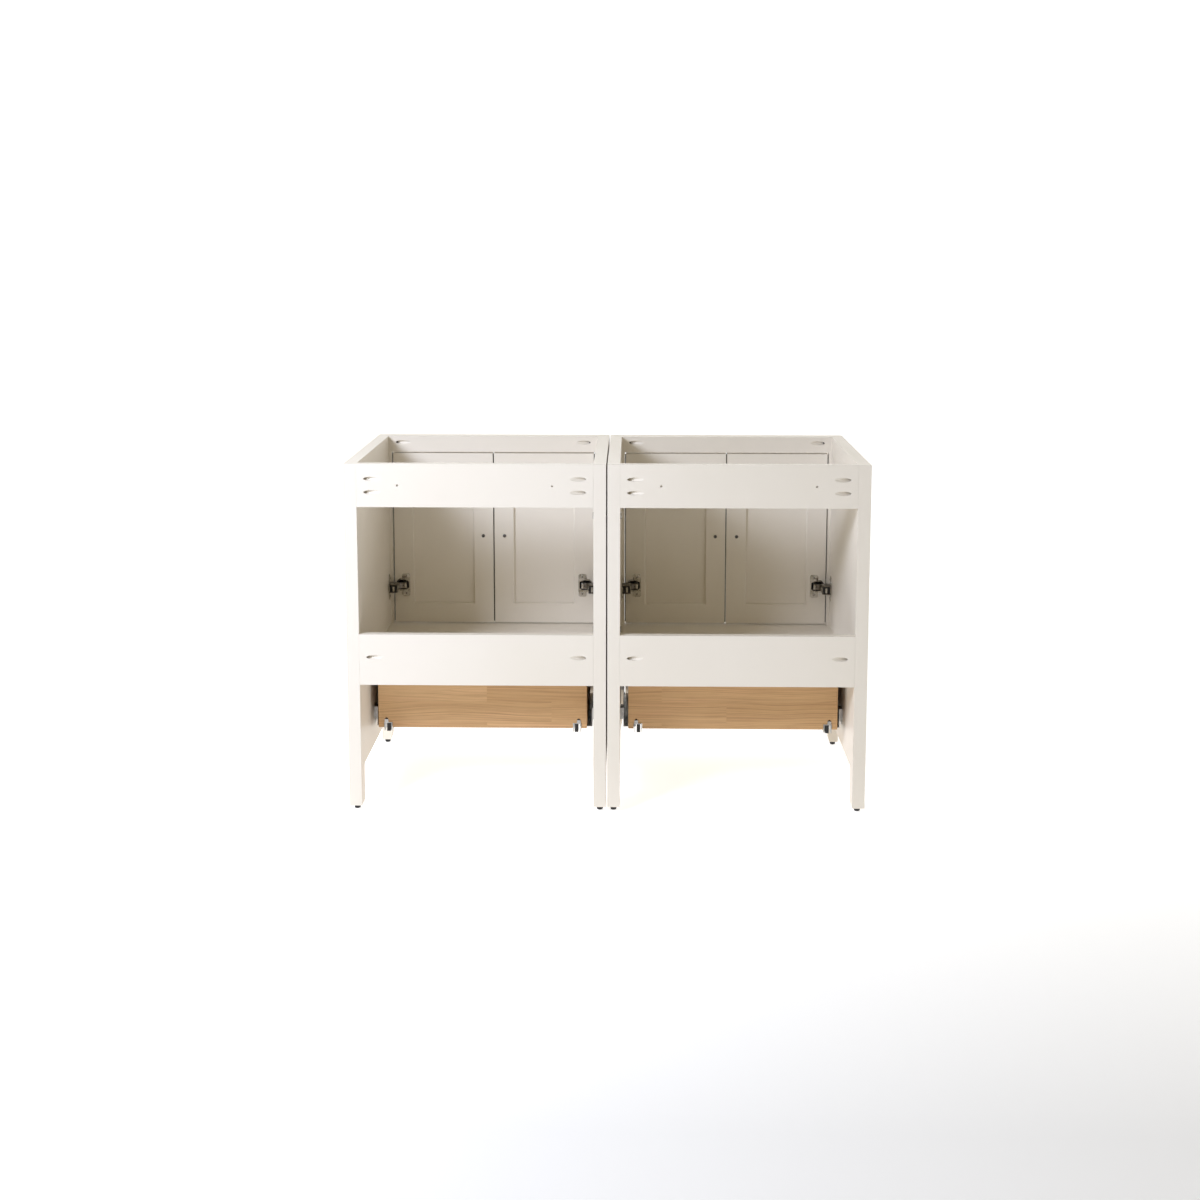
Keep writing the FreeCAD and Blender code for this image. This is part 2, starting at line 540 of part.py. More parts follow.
def runners(case, centre):
    """Drawer members of the slides, hooked into the drawer's back, with their black parts."""
    members = []
    plastics = []
    length = "(drawer_length - drawer_wall + sheet_steel)"
    half = "runner_width / 2"
    top = TRAY_UNDERSIDE
    ceiling = f"({top} - sheet_steel)"
    points = [(f"-{half}", RUNNER_BOTTOM), (f"-{half}", top), (half, top), (half, RUNNER_BOTTOM),
              (f"{half} - sheet_steel", RUNNER_BOTTOM), (f"{half} - sheet_steel", ceiling),
              (f"-{half} + sheet_steel", ceiling), (f"-{half} + sheet_steel", RUNNER_BOTTOM)]
    hook_height = "(hook_rise - hook_pin_drop - tray_recess + sheet_steel + hook_top)"
    pin_z = "(drawer_bottom_rise + hook_rise - hook_pin_drop)"
    for hand, inward in HANDS.items():
        x = f"({centre} - {inward} * ({CASE_WIDTH} / 2 - {RUNNER_INSET}))"
        hook_x = f"({x} - {inward} * hook_shift)"
        name = f"{case}_runner_{hand}"
        channel = profile(name, "XZ_Plane", points, length)
        place(channel, x, f"{DRAWER_BACK} + sheet_steel", "0")
        hook = block(name + "_hook", ("hook_width", "sheet_steel", hook_height),
                     (hook_x, f"({DRAWER_BACK} + sheet_steel / 2)",
                      f"({ceiling} + {hook_height} / 2)"))
        pin = rod(name + "_pin", "hook_pin_radius", "drawer_wall - tray_groove",
                  (hook_x, DRAWER_BACK, pin_z), (0, -1, 0))
        members.append(joined(name + "_set", [channel, hook, pin]))
        clip_x = f"({x} + {inward} * (runner_width + clip_width) / 2)"
        clip_y = f"({FACE_BACK} + drawer_wall + clip_length / 2)"
        plastics.append(block(f"{case}_clip_{hand}", ("clip_width", "clip_length", "clip_height"),
                              (clip_x, clip_y, f"({top} - clip_height / 2)")))
        stop_x = f"({x} + {inward} * (runner_width / 2 - stop_edge - stop_width / 2))"
        stop_height = f"({ceiling} - {RUNNER_BOTTOM})"
        plastics.append(block(f"{case}_stop_{hand}", ("stop_width", "stop_length", stop_height),
                              (stop_x, f"({DRAWER_BACK} + sheet_steel - stop_length / 2)",
                               f"({RUNNER_BOTTOM} + {stop_height} / 2)")))
    keep(joined(f"{case}_slide_runners", members), f"{case}_slide_runners")
    keep(joined(f"{case}_slide_clips", plastics), f"{case}_slide_clips")


def slide_rails(case, centre):
    """Cabinet members of the slides, standing off the side panels on two tabs each."""
    parts = []
    start = f"({DRAWER_BACK} - rail_start)"
    front = f"({FACE_BACK} + drawer_wall + rail_front_gap)"
    low = "(drawer_bottom_rise - rail_drop)"
    shelf = f"({low} + sheet_steel)"
    flange = "(side_thickness + rail_standoff)"
    flange_face = f"({flange} + sheet_steel)"
    high = "(drawer_bottom_rise + rail_flange_top)"
    lip = f"({RUNNER_INSET} - rail_lip_shift - sheet_steel / 2)"
    lip_face = f"({lip} + sheet_steel)"
    lip_top = "(drawer_bottom_rise + rail_lip)"
    corners = [(flange, low), (lip_face, low), (lip_face, lip_top), (lip, lip_top), (lip, shelf),
               (flange_face, shelf), (flange_face, high), (flange, high)]
    tab_height = "(rail_flange_top - rail_tab_bottom)"
    tab_z = f"(drawer_bottom_rise + rail_tab_bottom + {tab_height} / 2)"
    for hand, inward in HANDS.items():
        outer = f"({centre} - {inward} * {CASE_WIDTH} / 2)"
        points = [(f"{inward} * ({across})", up) for across, up in corners]
        name = f"{case}_rail_{hand}"
        member = profile(name, "XZ_Plane", points, f"{start} - {front}")
        place(member, outer, start, "0")
        tab_x = f"({outer} + {inward} * (side_thickness + rail_standoff / 2))"
        tabs = [block(f"{name}_tab_{spot}", ("rail_standoff", "rail_tab_length", tab_height),
                      (tab_x, y, tab_z))
                for spot, y in (("rear", f"({start} - rail_tab_length / 2)"),
                                ("front", f"({front} + rail_tab_length / 2)"))]
        parts.append(joined(name + "_set", [member] + tabs))
    keep(joined(f"{case}_slide_rails", parts), f"{case}_slide_rails")


def joining_bolts():
    """Bolts that hold the two cabinets together across their gap."""
    bolts = []
    half = "(case_gap / 2 + side_thickness)"
    for index, (y, z) in enumerate(bolt_places()):
        name = f"bolt_{index}"
        shank = rod(name + "_shank", "bolt_radius", f"2 * {half}", (f"-{half}", y, z), (1, 0, 0))
        heads = [rod(f"{name}_head_{hand}", "bolt_head_radius", "bolt_head",
                     (f"{-inward} * {half}", y, z), (-inward, 0, 0))
                 for hand, inward in HANDS.items()]
        bolts.append(joined(name, [shank] + heads))
    keep(joined("joining_bolts", bolts), "joining_bolts")


def check_objects():
    """Stop if anything failed to recompute or any sub-part isn't a valid solid."""
    document.recompute()
    for item in document.Objects:
        if {"Invalid", "Error"} & set(item.State):
            raise RuntimeError(f"{item.Label}: {item.State}")
    for name, item in SUBPARTS.items():
        shape = item.Shape
        if shape.isNull() or not shape.isValid() or not shape.Solids:
            raise RuntimeError(f"{name}: no valid solid")


def write_parts():
    """Write one STEP file for each sub-part."""
    os.makedirs("parts", exist_ok=True)
    for name, item in SUBPARTS.items():
        item.Shape.exportStep(f"parts/{name}.step")
        box = item.Shape.BoundBox
        print(f"{name}: {len(item.Shape.Solids)} solid(s), {item.Shape.Volume / 1000:.1f} cm3, "
              f"x {box.XMin:.1f}..{box.XMax:.1f} y {box.YMin:.1f}..{box.YMax:.1f} "
              f"z {box.ZMin:.1f}..{box.ZMax:.1f}")


fill_sheet()
for case_name, case_centre in CASES.items():
    for side in HANDS:
        side_panel(case_name, case_centre, side)
        front_post(case_name, case_centre, side)
        door(case_name, case_centre, side)
    rails(case_name, case_centre)
    cabinet_floor(case_name, case_centre)
    glides(case_name, case_centre)
    hinge_arms(case_name, case_centre)
    drawer_front(case_name, case_centre)
    drawer_box(case_name, case_centre)
    runners(case_name, case_centre)
    slide_rails(case_name, case_centre)
joining_bolts()
check_objects()
write_parts()
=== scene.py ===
"""Studio scene of the twin vanity base: its finishes, fine hardware, light and camera."""
from __future__ import annotations

import json
import logging
import math
from collections.abc import Iterator
from contextlib import contextmanager
from dataclasses import dataclass, field
from enum import Enum

import bmesh
import bpy
from mathutils import Matrix, Vector


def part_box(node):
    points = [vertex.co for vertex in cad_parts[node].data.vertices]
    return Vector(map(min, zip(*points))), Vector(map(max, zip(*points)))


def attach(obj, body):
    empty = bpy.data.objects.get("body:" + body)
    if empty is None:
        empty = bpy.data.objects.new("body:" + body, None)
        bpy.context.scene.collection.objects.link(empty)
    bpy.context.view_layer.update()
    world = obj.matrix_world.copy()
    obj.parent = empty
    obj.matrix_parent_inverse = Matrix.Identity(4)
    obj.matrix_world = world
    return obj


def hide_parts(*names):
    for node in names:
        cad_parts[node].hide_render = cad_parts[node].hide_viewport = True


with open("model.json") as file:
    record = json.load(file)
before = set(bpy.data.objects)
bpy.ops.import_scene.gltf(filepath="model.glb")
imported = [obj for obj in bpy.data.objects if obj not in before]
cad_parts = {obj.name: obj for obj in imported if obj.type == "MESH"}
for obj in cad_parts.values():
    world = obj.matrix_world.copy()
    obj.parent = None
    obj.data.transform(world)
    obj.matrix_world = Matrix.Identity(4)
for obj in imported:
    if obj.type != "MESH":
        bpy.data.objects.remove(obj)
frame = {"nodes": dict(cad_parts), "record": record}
LOG = logging.getLogger("vanity")
MM = 0.001
ACROSS = Vector((1.0, 0.0, 0.0))
REARWARD = Vector((0.0, 1.0, 0.0))
UPWARD = Vector((0.0, 0.0, 1.0))
CASES = ("left", "right")
HANDS = {"left": 1.0, "right": -1.0}


class Slot(Enum):
    """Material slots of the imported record."""

    PAINT = "painted_wood"
    TIMBER = "drawer_wood"
    ZINC = "zinc_steel"
    BLACK = "black_plastic"
    NICKEL = "nickel"


# ------------------------------------------------------------------------ shader graphs
class Wire:
    """A node's output whose Python operators add Math nodes."""

    def __init__(self, graph: "Graph", socket: bpy.types.NodeSocket) -> None:
        """Wrap a socket of a graph.

        Args:
            graph: the graph.
            socket: the output socket.
        """
        self.graph = graph
        self.socket = socket

    def _maths(self, operation: str, *values: "Wire | float") -> "Wire":
        """Add a Math node.

        Args:
            operation: the Math node's operation.
            *values: its inputs, wires or numbers.
        Returns:
            The node's result.
        """
        return self.graph.node("ShaderNodeMath", {"operation": operation},
                               dict(enumerate(values)))

    def __add__(self, other: "Wire | float") -> "Wire":
        """Add.

        Args:
            other: a wire or a number.
        Returns:
            The sum.
        """
        return self._maths("ADD", self, other)

    __radd__ = __add__

    def __mul__(self, other: "Wire | float") -> "Wire":
        """Multiply.

        Args:
            other: a wire or a number.
        Returns:
            The product.
        """
        return self._maths("MULTIPLY", self, other)

    __rmul__ = __mul__


class Graph:
    """A material's node tree, built node by node."""

    def __init__(self, name: str) -> None:
        """Start a material with one surface shader.

        Args:
            name: the name.
        """
        self.material = bpy.data.materials.new(name)
        self.material.use_nodes = True
        self.tree = self.material.node_tree
        self.shader = self.tree.nodes["Principled BSDF"]
        self.place = self.node("ShaderNodeTexCoord", {}, {}, "Object")

    def node(self, kind: str, settings: dict, inputs: dict, output: int | str = 0) -> Wire:
        """Add any node.

        Args:
            kind: the node's type.
            settings: properties set first.
            inputs: values or wires by socket name or number.
            output: the output that is returned.
        Returns:
            The chosen output.
        """
        item = self.tree.nodes.new(kind)
        for name, setting in settings.items():
            setattr(item, name, setting)
        for name, given in inputs.items():
            if isinstance(given, Wire):
                self.tree.links.new(given.socket, item.inputs[name])
            else:
                item.inputs[name].default_value = given
        return Wire(self, item.outputs[output])

    def stretched(self, scale: tuple[float, float, float], turn: float = 0.0) -> Wire:
        """Scale the object coordinates, turned about Z by some degrees.

        Args:
            scale: the scale along each axis.
            turn: the turn in degrees.
        Returns:
            The scaled coordinates.
        """
        return self.node("ShaderNodeMapping", {}, {"Vector": self.place, "Scale": scale,
                                                   "Rotation": (0.0, 0.0, math.radians(turn))})

    def noise(self, scale: float, detail: float = 3.0, vector: Wire | None = None,
              roughness: float = 0.5, distortion: float = 0.0) -> Wire:
        """Add a noise pattern and return its value.

        Args:
            scale: how fine it is.
            detail: how many finer layers it has.
            vector: the coordinates, if not the object's own.
            roughness: how strong the finer layers are.
            distortion: how far it is warped.
        Returns:
            Its value.
        """
        return self.node("ShaderNodeTexNoise", {},
                         {"Vector": vector or self.place, "Scale": scale, "Detail": detail,
                          "Roughness": roughness, "Distortion": distortion}, "Fac")

    def spread(self, factor: Wire, low: float, high: float, new_low: float,
               new_high: float) -> Wire:
        """Map a value from one range to another, clamped.

        Args:
            factor: the value.
            low: the lower end.
            high: the upper end.
            new_low: what the lower end becomes.
            new_high: what the upper end becomes.
        Returns:
            The mapped value.
        """
        return self.node("ShaderNodeMapRange", {},
                         {"Value": factor, "From Min": low, "From Max": high,
                          "To Min": new_low, "To Max": new_high}, "Result")

    def mix(self, factor: Wire | float, first: Wire | tuple, second: Wire | tuple) -> Wire:
        """Mix two colours.

        Args:
            factor: the share of the second colour.
            first: the first colour.
            second: the second colour.
        Returns:
            The mixed colour.
        """
        item = self.tree.nodes.new("ShaderNodeMix")
        item.data_type = "RGBA"
        for number, given in ((0, factor), (6, first), (7, second)):
            if isinstance(given, Wire):
                self.tree.links.new(given.socket, item.inputs[number])
            else:
                item.inputs[number].default_value = given
        return Wire(self, item.outputs[2])

    def bump(self, height: Wire, strength: float, distance: float,
             under: Wire | None = None) -> Wire:
        """Add a bump, on top of another if one is given.

        Args:
            height: the pattern.
            strength: how strong it is.
            distance: its depth in metres.
            under: the bump that it lies on, if any.
        Returns:
            The bumped normal.
        """
        inputs = {"Height": height, "Strength": strength, "Distance": distance}
        if under is not None:
            inputs["Normal"] = under
        return self.node("ShaderNodeBump", {}, inputs, "Normal")

    def finish(self, **sockets: Wire | float | tuple) -> bpy.types.Material:
        """Feed the surface shader.

        Args:
            **sockets: values or wires, with _ for each space in the socket's name.
        Returns:
            The finished material.
        """
        for name, given in sockets.items():
            socket = self.shader.inputs[name.replace("_", " ")]
            if isinstance(given, Wire):
                self.tree.links.new(given.socket, socket)
            else:
                socket.default_value = given
        return self.material


# ------------------------------------------------------------------------------ finishes
@dataclass(frozen=True)
class SatinPaint:
    """Sprayed antique-white paint over wood."""

    name: str = "satin_antique_white"
    light: tuple = (0.83, 0.775, 0.685, 1.0)
    deep: tuple = (0.805, 0.748, 0.650, 1.0)
    roughness: tuple[float, float] = (0.40, 0.52)

    def build(self) -> bpy.types.Material:
        """Build the material.

        Returns:
            The finished material.
        """
        graph = Graph(self.name)
        cloud = graph.noise(2.3, 4.0)
        speck = graph.noise(190.0, 2.0)
        tint = graph.mix(graph.spread(cloud, 0.35, 0.65, 0.0, 1.0), self.light, self.deep)
        grain = graph.noise(1.0, 5.0, graph.stretched((60.0, 60.0, 3.0)), 0.6)
        peel = graph.noise(420.0, 1.5)
        eased = graph.node("ShaderNodeBevel", {"samples": 4}, {"Radius": 0.0012}, "Normal")
        under = graph.bump(grain, 0.08, 0.0005, eased)
        polish = graph.spread(speck * 0.5 + cloud * 0.5, 0.35, 0.65, *self.roughness)
        return graph.finish(Base_Color=tint, Roughness=polish,
                            Normal=graph.bump(peel, 0.10, 0.0003, under),
                            Coat_Weight=graph.spread(cloud, 0.3, 0.7, 0.03, 0.10))


@dataclass(frozen=True)
class JointedTimber:
    """Clear-lacquered softwood glued up from short staves, its grain along X if not turned."""

    name: str = "jointed_timber"
    turn: float = 0.0
    stave_length: float = 0.42
    stave_height: float = 0.052
    pale: tuple = (0.69, 0.450, 0.226, 1.0)
    tan: tuple = (0.58, 0.355, 0.163, 1.0)
    line: tuple = (0.29, 0.142, 0.055, 1.0)
    pink: tuple = (0.68, 0.385, 0.205, 1.0)

    def build(self) -> bpy.types.Material:
        """Build the material.

        Returns:
            The finished material.
        """
        graph = Graph(self.name)
        place = graph.stretched((1.0, 1.0, 1.0), self.turn)
        flat = graph.node("ShaderNodeMapping", {},
                          {"Vector": place, "Rotation": (math.radians(90.0), 0.0, 0.0),
                           "Location": (0.13, 0.015, 0.0)})
        stave = graph.node("ShaderNodeTexBrick", {"offset": 0.37, "squash": 1.0},
                           {"Vector": flat, "Color1": (0.0, 0.0, 0.0, 1.0),
                            "Color2": (1.0, 1.0, 1.0, 1.0), "Mortar": (0.5, 0.5, 0.5, 1.0),
                            "Scale": 1.0, "Mortar Size": 0.0, "Mortar Smooth": 0.0, "Bias": 0.0,
                            "Brick Width": self.stave_length,
                            "Row Height": self.stave_height}, "Color")
        tone = graph.node("ShaderNodeSeparateColor", {}, {"Color": stave}, "Red")
        offset = graph.node("ShaderNodeCombineXYZ", {}, {"X": tone * 3.1, "Y": tone * 1.7,
                                                         "Z": tone * 5.3}, "Vector")
        shifted = graph.node("ShaderNodeVectorMath", {"operation": "ADD"},
                             {0: place, 1: offset}, "Vector")
        bend = graph.noise(1.0, 2.0, self.stretch(graph, shifted, (2.2, 6.0, 5.0)))
        waver = graph.noise(1.0, 3.0, self.stretch(graph, shifted, (1.3, 20.0, 34.0)), 0.5, 0.6)
        warped = graph.node("ShaderNodeCombineXYZ", {}, {"X": 0.0, "Y": 0.0, "Z": bend * 0.040},
                            "Vector")
        swept = graph.node("ShaderNodeVectorMath", {"operation": "ADD"}, {0: shifted, 1: warped},
                           "Vector")
        rings = graph.noise(1.0, 3.0, self.stretch(graph, swept, (1.6, 150.0, 400.0)), 0.55)
        fibre = graph.noise(1.0, 6.0, self.stretch(graph, swept, (11.0, 380.0, 480.0)), 0.65)
        blush = graph.noise(1.0, 2.0, self.stretch(graph, shifted, (3.0, 12.0, 22.0)))
        base = graph.mix(graph.spread(tone * 0.5 + waver * 0.6, 0.25, 0.85, 0.0, 1.0), self.pale,
                         self.tan)
        warm = graph.mix(graph.spread(blush, 0.55, 0.75, 0.0, 0.35), base, self.pink)
        ringed = graph.mix(graph.spread(rings, 0.47, 0.70, 0.0, 0.58), warm, self.line)
        flecked = graph.mix(graph.spread(fibre, 0.47, 0.75, 0.0, 0.42), ringed, self.line)
        eased = graph.node("ShaderNodeBevel", {"samples": 4}, {"Radius": 0.0015}, "Normal")
        return graph.finish(Base_Color=flecked,
                            Roughness=graph.spread(fibre, 0.3, 0.7, 0.42, 0.62),
                            Normal=graph.bump(fibre + rings * 0.4, 0.22, 0.0005, eased))

    @staticmethod
    def stretch(graph: Graph, vector: Wire, scale: tuple[float, float, float]) -> Wire:
        """Scale a vector along its three axes.

        Args:
            graph: the graph.
            vector: the vector.
            scale: the scale along each axis.
        Returns:
            The scaled vector.
        """
        return graph.node("ShaderNodeMapping", {}, {"Vector": vector, "Scale": scale})


@dataclass(frozen=True)
class BrushedMetal:
    """Plated or zinc-coated steel with fine rolling marks."""

    name: str
    tint: tuple
    shade: tuple
    roughness: tuple[float, float]
    marks: tuple[float, float, float] = (900.0, 30.0, 900.0)

    def build(self) -> bpy.types.Material:
        """Build the material.

        Returns:
            The finished material.
        """
        graph = Graph(self.name)
        mark = graph.noise(1.0, 3.0, graph.stretched(self.marks), 0.6)
        cloud = graph.noise(60.0, 4.0)
        tint = graph.mix(graph.spread(cloud, 0.35, 0.7, 0.0, 1.0), self.tint, self.shade)
        polish = graph.spread(mark * 0.6 + cloud * 0.4, 0.3, 0.7, *self.roughness)
        return graph.finish(Base_Color=tint, Metallic=1.0, Roughness=polish,
                            Normal=graph.bump(mark, 0.10, 0.0002))


@dataclass(frozen=True)
class MouldedPlastic:
    """Matt black moulded plastic."""

    name: str = "matt_black_plastic"
    tint: tuple = (0.012, 0.012, 0.013, 1.0)
    rubbed: tuple = (0.030, 0.030, 0.031, 1.0)

    def build(self) -> bpy.types.Material:
        """Build the material.

        Returns:
            The finished material.
        """
        graph = Graph(self.name)
        spark = graph.noise(900.0, 2.0)
        cloud = graph.noise(45.0, 3.0)
        tint = graph.mix(graph.spread(cloud, 0.45, 0.75, 0.0, 1.0), self.tint, self.rubbed)
        return graph.finish(Base_Color=tint, Roughness=graph.spread(spark, 0.3, 0.7, 0.42, 0.6),
                            Normal=graph.bump(spark, 0.2, 0.0002))


class Finishes:
    """The finished materials, one for each slot."""

    def __init__(self) -> None:
        """Build every material once."""
        self.by_slot = {
            Slot.PAINT: SatinPaint().build(),
            Slot.TIMBER: JointedTimber().build(),
            Slot.ZINC: BrushedMetal("zinc_sheet", (0.52, 0.51, 0.49, 1.0),
                                    (0.36, 0.355, 0.34, 1.0), (0.24, 0.38)).build(),
            Slot.BLACK: MouldedPlastic().build(),
            Slot.NICKEL: BrushedMetal("satin_nickel", (0.60, 0.575, 0.53, 1.0),
                                      (0.50, 0.475, 0.43, 1.0), (0.20, 0.34)).build(),
        }
        self.side_timber = JointedTimber("jointed_timber_sides", 90.0).build()
        # a darker copy of the satin nickel for the hinge arms: painted shade
        self.cast = BrushedMetal("arm_nickel_shade", (0.24, 0.22, 0.19, 1.0),
                                 (0.15, 0.135, 0.115, 1.0), (0.22, 0.36)).build()
        # a darker steel for the screw heads
        self.dim_steel = BrushedMetal("dim_screw_steel", (0.22, 0.21, 0.20, 1.0),
                                  (0.12, 0.115, 0.11, 1.0), (0.28, 0.42)).build()
        # near-black finish for screw recesses, hinge cups and arm channels: painted shade
        self.painted_shade = MouldedPlastic("black_recess_shade", (0.010, 0.009, 0.008, 1.0),
                                   (0.022, 0.020, 0.018, 1.0)).build()

    def dress_frame(self) -> None:
        """Give every carried-over node the finish that its slot names."""
        for entry in frame["record"]["subparts"]:
            node = frame["nodes"][entry["node"]]
            turned = "_drawer_side_" in entry["node"]
            finish = self.side_timber if turned else self.by_slot[Slot(entry["material_slot"])]
            node.data.materials.clear()
            node.data.materials.append(finish)


# --------------------------------------------------------------------------- mesh making
PLANES = {"XY": (0, 1, 2), "XZ": (0, 2, 1), "YZ": (1, 2, 0)}


def spot(plane: str, across: float, up: float, out: float) -> Vector:
    """Turn a point of a plane and its height above it into a position.

    Args:
        plane: the two axes that the plane lies along.
        across: the first coordinate.
        up: the second coordinate.
        out: the height above the plane.
    Returns:
        The position.
    """
    point = [0.0, 0.0, 0.0]
    for axis, value in zip(PLANES[plane], (across, up, out)):
        point[axis] = value
    return Vector(point)


def turn_to(axis: Vector) -> Matrix:
    """Give the rotation that brings +Z onto an axis.

    Args:
        axis: the axis.
    Returns:
        The rotation.
    """
    return UPWARD.rotation_difference(axis.normalized()).to_matrix()


def rounded_outline(width: float, height: float, radius: float, steps: int = 5,
                    centre: tuple[float, float] = (0.0, 0.0)) -> list[tuple[float, float]]:
    """Outline of a rectangle with rounded corners, counted round from its right side.

    Args:
        width: its width.
        height: its height.
        radius: the corners' radius.
        steps: how many steps each corner has.
        centre: its middle.
    Returns:
        Its points in order.
    """
    wide, tall = width / 2 - radius, height / 2 - radius
    corners = [(wide, tall), (-wide, tall), (-wide, -tall), (wide, -tall)]
    points = []
    for quarter, (across, up) in enumerate(corners):
        for step in range(steps + 1):
            angle = math.radians(90.0 * (quarter + step / steps))
            points.append((centre[0] + across + radius * math.cos(angle),
                           centre[1] + up + radius * math.sin(angle)))
    return points


class Form:
    """A mesh shaped with bmesh operators, in millimetres in a local frame."""

    def __init__(self) -> None:
        """Start an empty mesh in the object's own frame."""
        self.mesh = bmesh.new()
        self.place = Matrix.Identity(4)

    @contextmanager
    def adding(self, bevel: float = 0.0, segments: int = 2) -> Iterator[None]:
        """Bevel what is made inside, then put it in place.

        Args:
            bevel: width of the rounding, if any.
            segments: how many faces the rounding has.
        Returns:
            Nothing while the new vertices are made.
        """
        earlier = set(self.mesh.verts)
        yield
        fresh = [vert for vert in self.mesh.verts if vert not in earlier]
        if bevel > 0.0:
            edges = {edge for vert in fresh for edge in vert.link_edges
                     if len(edge.link_faces) == 2 and edge.calc_face_angle(0.0) > 0.6}
            bmesh.ops.bevel(self.mesh, geom=list(edges), offset=bevel, offset_type="OFFSET",
                            segments=segments, profile=0.5, affect="EDGES", material=-1,
                            clamp_overlap=True)
            fresh = [vert for vert in self.mesh.verts if vert not in earlier]
        bmesh.ops.transform(self.mesh, matrix=self.place, verts=fresh)

    def drum(self, base: Vector, axis: Vector, radius: float, length: float, bevel: float = 0.0,
             sides: int = 32) -> "Form":
        """Add a cylinder from the middle of its base along an axis.

        Args:
            base: the middle of its base.
            axis: the way it points.
            radius: its radius.
            length: its length.
            bevel: rounding of its edges.
            sides: how many sides it has.
        Returns:
            The form itself.
        """
        with self.adding(bevel):
            verts = bmesh.ops.create_cone(self.mesh, cap_ends=True, segments=sides, radius1=radius,
                                          radius2=radius, depth=length)["verts"]
            bmesh.ops.translate(self.mesh, verts=verts, vec=(0.0, 0.0, length / 2.0))
            bmesh.ops.rotate(self.mesh, verts=verts, cent=(0.0, 0.0, 0.0), matrix=turn_to(axis))
            bmesh.ops.translate(self.mesh, verts=verts, vec=base)
        return self

    def slab(self, centre: Vector, size: tuple[float, float, float], bevel: float = 0.0,
             turn: Matrix | None = None) -> "Form":
        """Add a box around a centre, turned about it if asked.

        Args:
            centre: its middle.
            size: its three sizes.
            bevel: rounding of its edges.
            turn: a rotation about its middle.
        Returns:
            The form itself.
        """
        with self.adding(bevel):
            verts = bmesh.ops.create_cube(self.mesh, size=1.0)["verts"]
            bmesh.ops.scale(self.mesh, verts=verts, vec=size)
            if turn is not None:
                bmesh.ops.rotate(self.mesh, verts=verts, cent=(0.0, 0.0, 0.0), matrix=turn)
            bmesh.ops.translate(self.mesh, verts=verts, vec=centre)
        return self

    def turned(self, base: Vector, axis: Vector, half: list[tuple[float, float]],
               sides: int = 48) -> "Form":
        """Spin a half-outline of (radius, height) points about an axis through a base.

        Args:
            base: where its outline starts.
            axis: the way it points.
            half: the half-outline.
            sides: how many sides it has.
        Returns:
            The form itself.
        """
        with self.adding():
            earlier = set(self.mesh.verts)
            verts = [self.mesh.verts.new((radius, 0.0, height)) for radius, height in half]
            edges = [self.mesh.edges.new(pair) for pair in zip(verts, verts[1:])]
            bmesh.ops.spin(self.mesh, geom=verts + edges, cent=(0.0, 0.0, 0.0),
                           axis=(0.0, 0.0, 1.0), angle=math.tau, steps=sides, use_merge=True,
                           use_duplicate=False)
            fresh = [vert for vert in self.mesh.verts if vert not in earlier]
            bmesh.ops.remove_doubles(self.mesh, verts=fresh, dist=1e-4)
            fresh = [vert for vert in self.mesh.verts if vert not in earlier]
            bmesh.ops.rotate(self.mesh, verts=fresh, cent=(0.0, 0.0, 0.0), matrix=turn_to(axis))
            bmesh.ops.translate(self.mesh, verts=fresh, vec=base)
        return self

    def plate(self, corners: list[tuple[float, float]], low: float, height: float,
              plane: str = "XY", bevel: float = 0.0) -> "Form":
        """Raise a flat outline into a plate.

        Args:
            corners: its outline in the plane.
            low: where it starts above the plane.
            height: its thickness.
            plane: the two axes that the outline lies along.
            bevel: rounding of its edges.
        Returns:
            The form itself.
        """
        with self.adding(bevel):
            verts = [self.mesh.verts.new(spot(plane, *corner, low)) for corner in corners]
            face = self.mesh.faces.new(verts)
            made = bmesh.ops.extrude_face_region(self.mesh, geom=[face])["geom"]
            raised = [item for item in made if isinstance(item, bmesh.types.BMVert)]
            bmesh.ops.translate(self.mesh, verts=raised, vec=spot(plane, 0.0, 0.0, height))
        return self

    def ring(self, outer: list[tuple[float, float]], inner: list[tuple[float, float]], low: float,
             height: float, plane: str = "XZ") -> "Form":
        """Add a plate with a hole, from two outlines of as many points.

        Args:
            outer: its outer outline.
            inner: its inner outline.
            low: where it starts above the plane.
            height: its thickness.
            plane: the two axes that the outlines lie along.
        Returns:
            The form itself.
        """
        with self.adding():
            rows = [[self.mesh.verts.new(spot(plane, *point, level)) for point in points]
                    for level, points in ((low, outer), (low, inner), (low + height, inner),
                                          (low + height, outer))]
            count = len(outer)
            for first, second in zip(rows, rows[1:] + rows[:1]):
                for index in range(count):
                    after = (index + 1) % count
                    self.mesh.faces.new((first[index], first[after], second[after], second[index]))
        return self

    def piece(self, name: str, material: bpy.types.Material) -> bpy.types.Object:
        """Close the form into an object in metres, at the origin.

        Args:
            name: the name.
            material: its material.
        Returns:
            The new object.
        """
        bmesh.ops.recalc_face_normals(self.mesh, faces=self.mesh.faces)
        bmesh.ops.scale(self.mesh, verts=self.mesh.verts, vec=(MM, MM, MM))
        data = bpy.data.meshes.new(name)
        self.mesh.to_mesh(data)
        self.mesh.free()
        data.materials.append(material)
        data.shade_smooth()
        data.set_sharp_from_angle(angle=math.radians(38.0))
        item = bpy.data.objects.new(name, data)
        bpy.context.scene.collection.objects.link(item)
        LOG.info("%s: %d faces", name, len(data.polygons))
        return item


def span(node: str) -> tuple[Vector, Vector, Vector]:
    """Give a node's lowest corner, highest corner and middle, in millimetres.

    Args:
        node: the name of the node.
    Returns:
        The three positions.
    """
    low, high = (Vector(corner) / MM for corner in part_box(node))
    return low, high, (low + high) / 2.0


